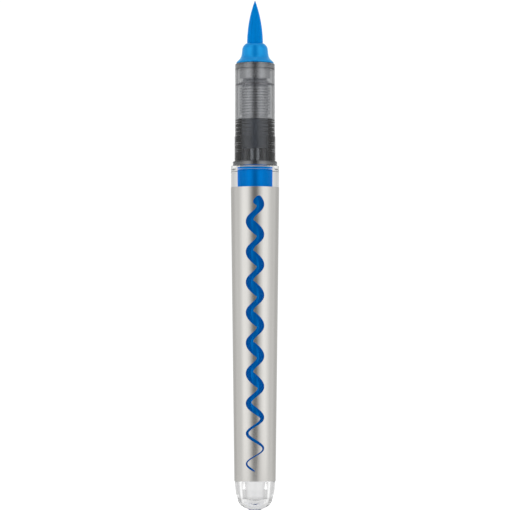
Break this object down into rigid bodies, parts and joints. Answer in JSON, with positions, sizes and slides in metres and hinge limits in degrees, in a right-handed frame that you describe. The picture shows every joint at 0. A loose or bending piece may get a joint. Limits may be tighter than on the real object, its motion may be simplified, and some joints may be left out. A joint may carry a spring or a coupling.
{
  "type": "brush pen",
  "caption": "Uncapped liquid-ink brush pen: clear ink-filled barrel with a silver printed skin, smoke-tinted grip section with finned ink regulators, and a bending pointed nylon brush.",
  "frame": {"origin": "on the pen's axis, in the middle of the smoke-tinted grip section, where fingers hold it", "axes": "+Z along the pen's axis towards the brush tip; -Y is the side of the barrel whose print has the stroke-shaped window; +X to the right of a viewer who looks along +Y"},
  "size_m": [0.013, 0.013, 0.137],
  "materials": {
    "clear_plastic": "polished",
    "smoke_plastic": "polished",
    "dark_plastic": "satin",
    "silver_print": "satin",
    "blue_ink": "gloss",
    "blue_plastic": "satin",
    "blue_nylon": "satin",
    "seal": "matte"
  },
  "bodies": {
    "pen": {"barrel": "clear_plastic", "tail_cap": "clear_plastic", "bore_stopper": "clear_plastic", "print_sleeve": "silver_print", "ink_fill": "blue_ink", "seal_ring": "seal", "grip_housing": "smoke_plastic", "ink_regulator": "dark_plastic", "overflow_fins": "dark_plastic", "feed_wick": "blue_nylon", "nib_holder": "blue_plastic", "brush_root": "blue_nylon"},
    "brush_lower": {"brush_belly": "blue_nylon"},
    "brush_upper": {"brush_point": "blue_nylon"}
  },
  "joints": [
    {"name": "brush_root_bend", "type": "hinge", "parent": "pen", "child": "brush_lower", "pos_m": [0, 0, 0.01923], "axis": [1, 0, 0], "range_deg": [-20, 20], "stiffness_Nm_per_rad": 0.003},
    {"name": "brush_point_bend", "type": "hinge", "parent": "brush_lower", "child": "brush_upper", "pos_m": [0, 0, 0.0243], "axis": [0, 1, 0], "range_deg": [-30, 30], "stiffness_Nm_per_rad": 0.003}
  ]
}
